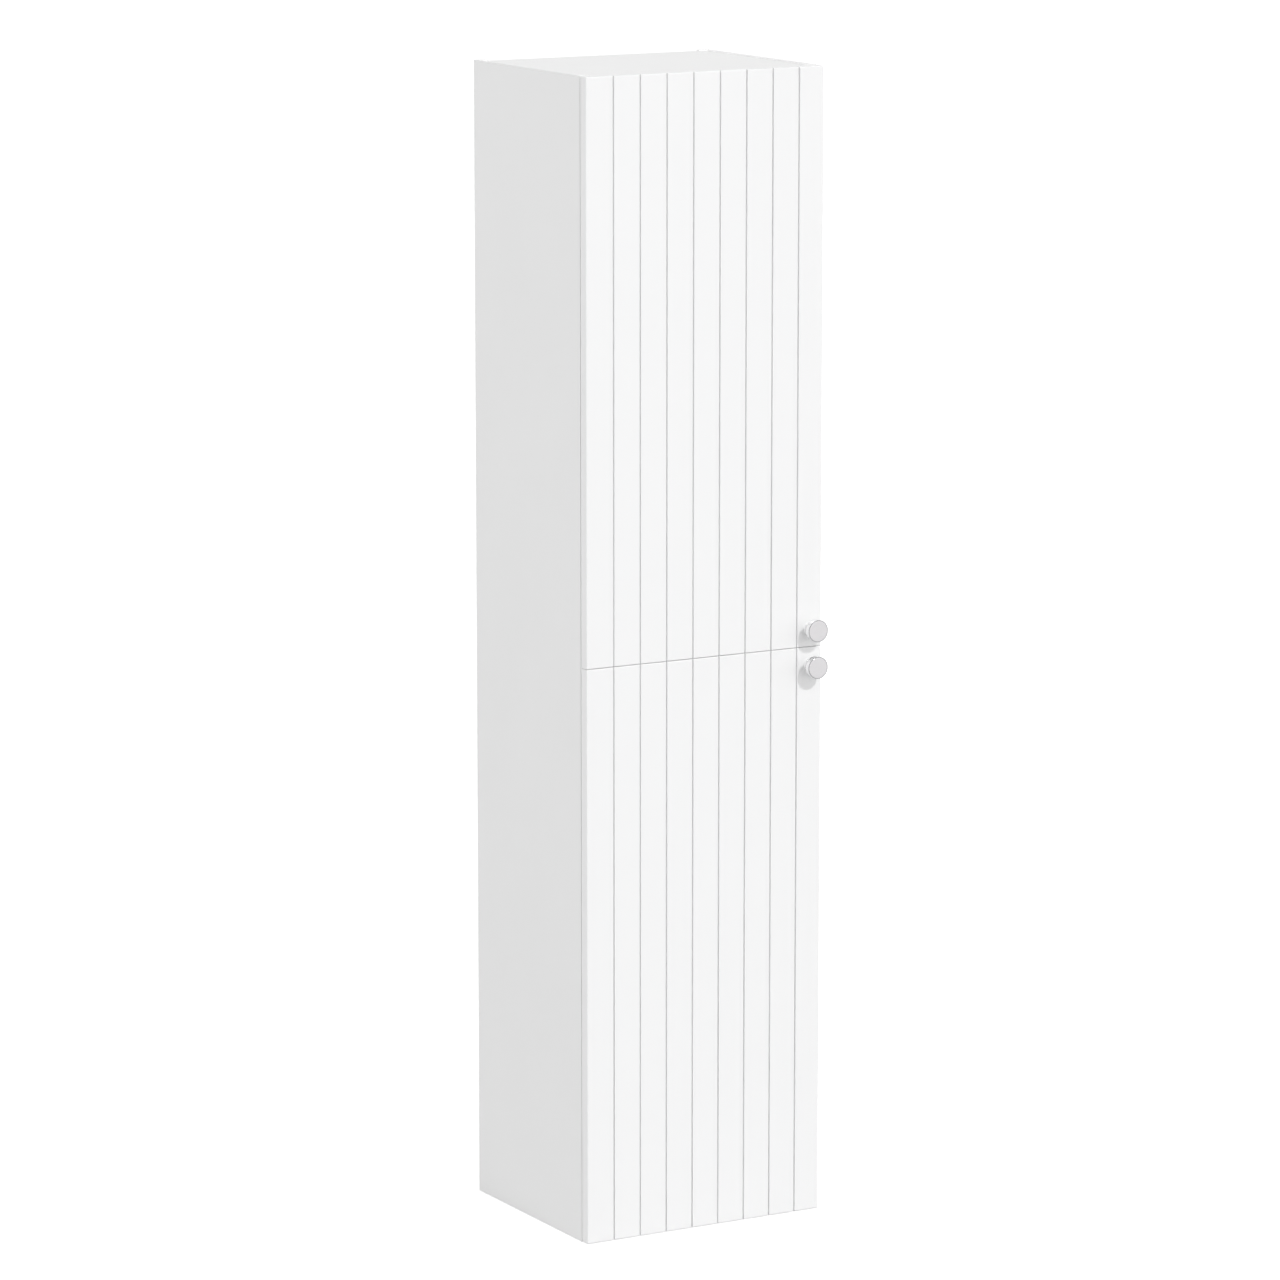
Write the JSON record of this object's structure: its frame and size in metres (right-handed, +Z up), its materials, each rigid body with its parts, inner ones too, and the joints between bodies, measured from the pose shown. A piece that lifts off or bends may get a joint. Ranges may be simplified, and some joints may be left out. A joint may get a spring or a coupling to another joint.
{
  "type": "tall bathroom cabinet",
  "caption": "Tall narrow white wall-hung cabinet with stacked slatted doors, round metal knobs, concealed cup hinges and shelves inside.",
  "frame": {"origin": "under the middle of the whole box, on the plane that the side panels and the bottom panel stand on", "axes": "+Z up, +Y towards the wall behind the cabinet, -Y out of the doors, -X at the hinge side"},
  "size_m": [0.35, 0.324, 1.52],
  "materials": {
    "door_foil": "satin white foil over fibreboard",
    "white_board": "white melamine on chipboard, fine matt texture",
    "back_board": "white printed hardboard",
    "knob_chrome": "polished side, satin face",
    "nickel_steel": "nickel-plated pressed steel",
    "galvanised_steel": "zinc-coated sheet",
    "screw_steel": "bright zinc plate",
    "zinc": "die-cast zinc",
    "white_plastic": "moulded, matt",
    "clear_silicone": "soft, clear",
    "beech": "fluted beech"
  },
  "bodies": {
    "carcass": {"back_panel": "back_board", "bottom_panel": "white_board", "cam_dowels": "zinc", "cam_locks": "zinc", "corner_block_screws": "screw_steel", "corner_blocks": "white_plastic", "hanger_screws": "screw_steel", "hinge_adjusting_screws": "screw_steel", "hinge_arm_pins": "nickel_steel", "left_hanger_hook": "galvanised_steel", "left_side_panel": "white_board", "left_wall_hanger": "white_plastic", "lower_compartment_high_shelf": "white_board", "lower_compartment_low_shelf": "white_board", "lower_door_bottom_hinge_arm": "nickel_steel", "lower_door_bottom_hinge_mounting_plate": "nickel_steel", "lower_door_top_hinge_arm": "nickel_steel", "lower_door_top_hinge_mounting_plate": "nickel_steel", "lower_rear_rail": "white_board", "middle_shelf": "white_board", "mounting_plate_screws": "screw_steel", "right_hanger_hook": "galvanised_steel", "right_side_panel": "white_board", "right_wall_hanger": "white_plastic", "shelf_supports": "nickel_steel", "top_panel": "white_board", "upper_compartment_high_shelf": "white_board", "upper_compartment_low_shelf": "white_board", "upper_door_bottom_hinge_arm": "nickel_steel", "upper_door_bottom_hinge_mounting_plate": "nickel_steel", "upper_door_top_hinge_arm": "nickel_steel", "upper_door_top_hinge_mounting_plate": "nickel_steel", "wall_rail": "galvanised_steel", "wooden_dowels": "beech"},
    "upper_door": {"upper_door": "door_foil", "upper_door_bottom_hinge_cup": "nickel_steel", "upper_door_bumpers": "clear_silicone", "upper_door_cup_pins": "nickel_steel", "upper_door_cup_screws": "screw_steel", "upper_door_top_hinge_cup": "nickel_steel", "upper_knob": "knob_chrome", "upper_knob_screw": "screw_steel"},
    "upper_outer_links": {"upper_door_outer_links": "nickel_steel"},
    "upper_inner_links": {"upper_door_inner_links": "nickel_steel"},
    "lower_door": {"lower_door": "door_foil", "lower_door_bottom_hinge_cup": "nickel_steel", "lower_door_bumpers": "clear_silicone", "lower_door_cup_pins": "nickel_steel", "lower_door_cup_screws": "screw_steel", "lower_door_top_hinge_cup": "nickel_steel", "lower_knob": "knob_chrome", "lower_knob_screw": "screw_steel"},
    "lower_outer_links": {"lower_door_outer_links": "nickel_steel"},
    "lower_inner_links": {"lower_door_inner_links": "nickel_steel"}
  },
  "joints": [
    {"name": "upper_outer_link_swing", "type": "hinge", "parent": "carcass", "child": "upper_outer_links", "pos_m": [-0.1377, -0.1104, 1.1415], "axis": [0, 0, 1], "range_deg": [0, 33.1]},
    {"name": "upper_door_swing", "type": "hinge", "parent": "upper_outer_links", "child": "upper_door", "pos_m": [-0.1651, -0.1245, 1.1415], "axis": [0, 0, -1], "range_deg": [0, 138]},
    {"name": "upper_inner_link_swing", "type": "hinge", "parent": "carcass", "child": "upper_inner_links", "pos_m": [-0.1419, -0.1297, 1.1415], "axis": [0, 0, 1], "range_deg": [0, 49.23]},
    {"name": "lower_outer_link_swing", "type": "hinge", "parent": "carcass", "child": "lower_outer_links", "pos_m": [-0.1377, -0.1104, 0.38075], "axis": [0, 0, 1], "range_deg": [0, 33.1]},
    {"name": "lower_door_swing", "type": "hinge", "parent": "lower_outer_links", "child": "lower_door", "pos_m": [-0.1651, -0.1245, 0.38075], "axis": [0, 0, -1], "range_deg": [0, 138]},
    {"name": "lower_inner_link_swing", "type": "hinge", "parent": "carcass", "child": "lower_inner_links", "pos_m": [-0.1419, -0.1297, 0.38075], "axis": [0, 0, 1], "range_deg": [0, 49.23]}
  ],
  "couplings": [
    {"joint": "upper_outer_link_swing", "follows": "upper_door_swing", "ratio": 0.23913},
    {"joint": "upper_inner_link_swing", "follows": "upper_door_swing", "ratio": 0.35601},
    {"joint": "lower_outer_link_swing", "follows": "lower_door_swing", "ratio": 0.23913},
    {"joint": "lower_inner_link_swing", "follows": "lower_door_swing", "ratio": 0.35601}
  ]
}
